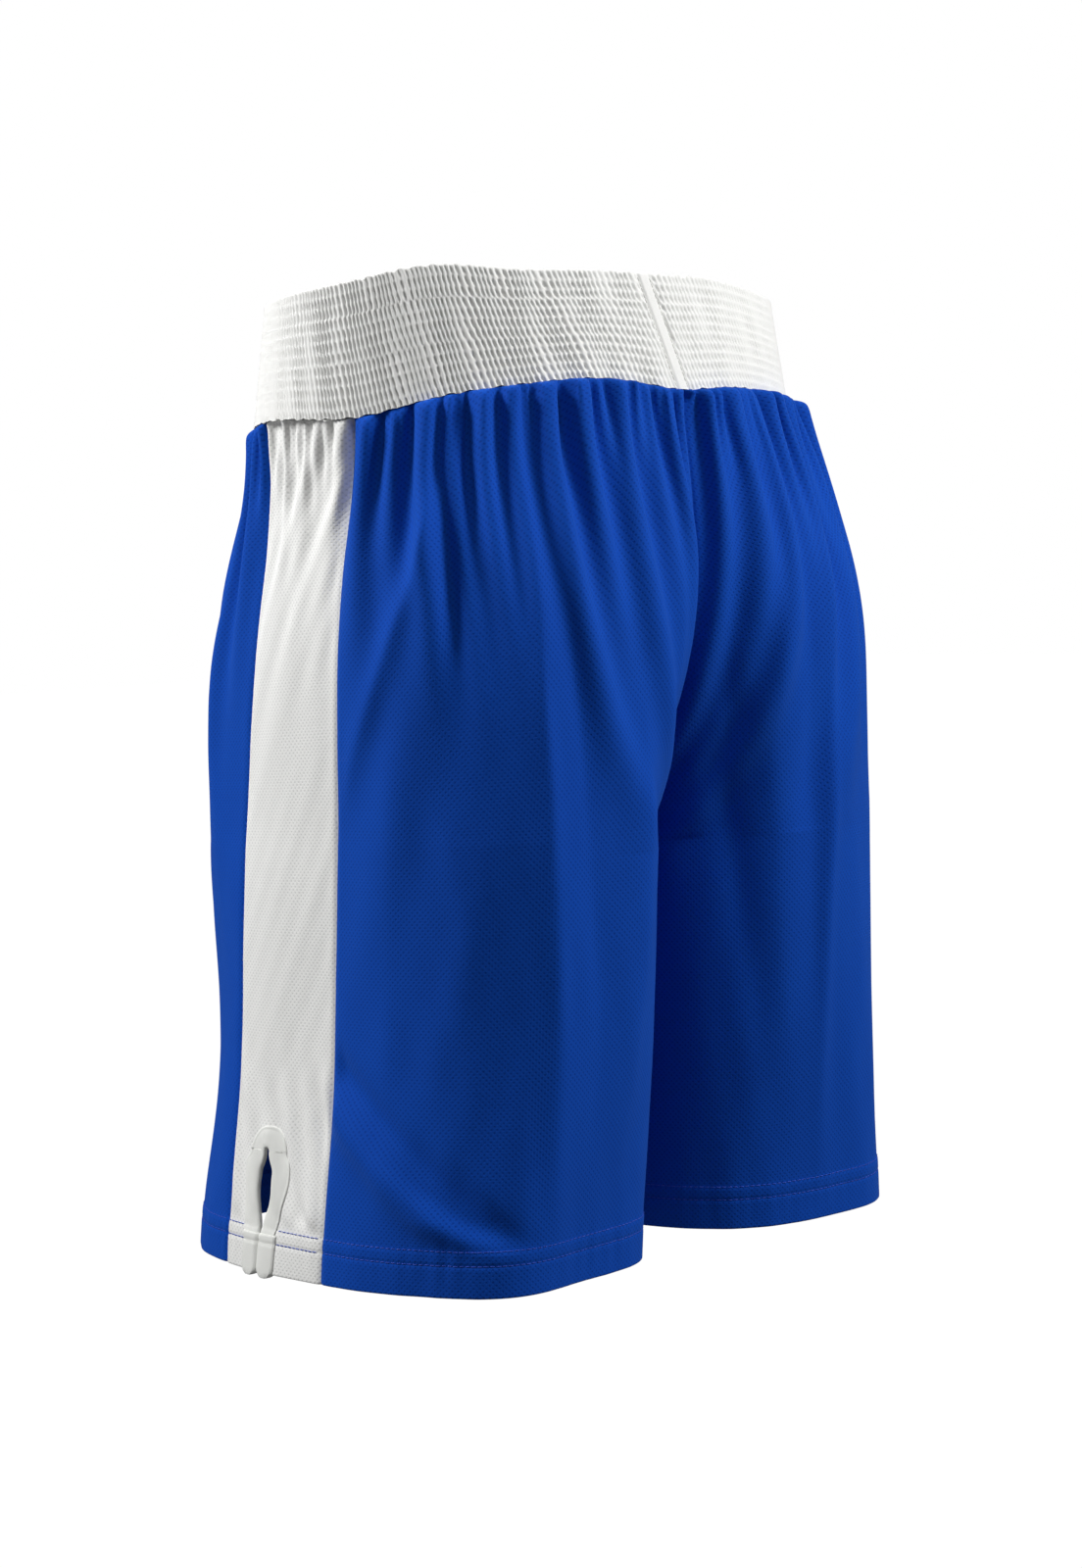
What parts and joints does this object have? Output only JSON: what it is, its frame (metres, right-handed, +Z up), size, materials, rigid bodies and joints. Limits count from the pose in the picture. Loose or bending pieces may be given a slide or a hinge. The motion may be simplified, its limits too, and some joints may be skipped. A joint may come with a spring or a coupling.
{
  "type": "boxing shorts",
  "caption": "Knee-length boxing shorts with a wide shirred elastic waistband, gathered blue legs, white side panels and a bound vent at each side of the hem.",
  "frame": {"origin": "in the plane of the hems, on the garment's left-right centre plane, within 3 mm of the middle between its foremost and rearmost points", "axes": "+Z up, -Y towards the front of the garment, +X towards the wearer's left"},
  "size_m": [0.3678, 0.2763, 0.5092],
  "materials": {
    "blue_knit": "matt birdseye polyester knit, royal blue",
    "white_knit": "matt birdseye polyester knit, white",
    "white_satin": "soft white polyester with a slight sheen, shirred over the elastic",
    "white_tape": "matt white bias tape",
    "elastic": "woven elastic",
    "blue_thread": "blue polyester sewing thread",
    "white_thread": "white polyester sewing thread",
    "label": "smooth white satin label, left blank"
  },
  "bodies": {
    "waist": {"size_label": "label", "waist_seam_overlock": "white_thread", "waistband_casing": "white_satin", "waistband_elastic": "elastic", "waistband_join_stitch_left": "white_thread", "waistband_join_stitch_right": "white_thread"},
    "left_vent_front": {"left_vent_front_flap": "white_knit", "left_vent_front_hem_stitch_lower": "blue_thread", "left_vent_front_hem_stitch_upper": "blue_thread", "left_vent_front_tape": "white_tape"},
    "left_vent_back": {"left_vent_back_flap": "white_knit", "left_vent_back_hem_stitch_lower": "blue_thread", "left_vent_back_hem_stitch_upper": "blue_thread", "left_vent_back_tape": "white_tape"},
    "left_leg": {"left_back_hem_stitch_lower": "blue_thread", "left_back_hem_stitch_upper": "blue_thread", "left_back_panel": "blue_knit", "left_front_hem_stitch_lower": "blue_thread", "left_front_hem_stitch_upper": "blue_thread", "left_front_panel": "blue_knit", "left_inseam_overlock": "blue_thread", "left_rise_back_overlock": "blue_thread", "left_rise_front_overlock": "blue_thread", "left_side_back_overlock": "white_thread", "left_side_front_overlock": "white_thread", "left_side_panel": "white_knit", "left_vent_arch_tape": "white_tape"},
    "right_vent_front": {"right_vent_front_flap": "white_knit", "right_vent_front_hem_stitch_lower": "blue_thread", "right_vent_front_hem_stitch_upper": "blue_thread", "right_vent_front_tape": "white_tape"},
    "right_vent_back": {"right_vent_back_flap": "white_knit", "right_vent_back_hem_stitch_lower": "blue_thread", "right_vent_back_hem_stitch_upper": "blue_thread", "right_vent_back_tape": "white_tape"},
    "right_leg": {"right_back_hem_stitch_lower": "blue_thread", "right_back_hem_stitch_upper": "blue_thread", "right_back_panel": "blue_knit", "right_front_hem_stitch_lower": "blue_thread", "right_front_hem_stitch_upper": "blue_thread", "right_front_panel": "blue_knit", "right_inseam_overlock": "blue_thread", "right_rise_back_overlock": "blue_thread", "right_rise_front_overlock": "blue_thread", "right_side_back_overlock": "white_thread", "right_side_front_overlock": "white_thread", "right_side_panel": "white_knit", "right_vent_arch_tape": "white_tape"}
  },
  "joints": [
    {"name": "left_leg_swing", "type": "hinge", "parent": "waist", "child": "left_leg", "pos_m": [0, 0, 0.34], "axis": [-1, 0, 0], "range_deg": [-15, 45]},
    {"name": "left_vent_front_open", "type": "hinge", "parent": "left_leg", "child": "left_vent_front", "pos_m": [0.1797, -0.062, 0], "axis": [0.1493, 0.0227, -0.9885], "range_deg": [0, 30]},
    {"name": "left_vent_back_open", "type": "hinge", "parent": "left_leg", "child": "left_vent_back", "pos_m": [0.1827, 0.016, 0], "axis": [-0.1316, -0.0253, 0.991], "range_deg": [0, 30]},
    {"name": "right_leg_swing", "type": "hinge", "parent": "waist", "child": "right_leg", "pos_m": [0, 0, 0.34], "axis": [-1, 0, 0], "range_deg": [-15, 45]},
    {"name": "right_vent_front_open", "type": "hinge", "parent": "right_leg", "child": "right_vent_front", "pos_m": [-0.1797, -0.062, 0], "axis": [0.1493, -0.0227, 0.9885], "range_deg": [0, 30]},
    {"name": "right_vent_back_open", "type": "hinge", "parent": "right_leg", "child": "right_vent_back", "pos_m": [-0.1827, 0.016, 0], "axis": [-0.1316, 0.0253, -0.991], "range_deg": [0, 30]}
  ]
}
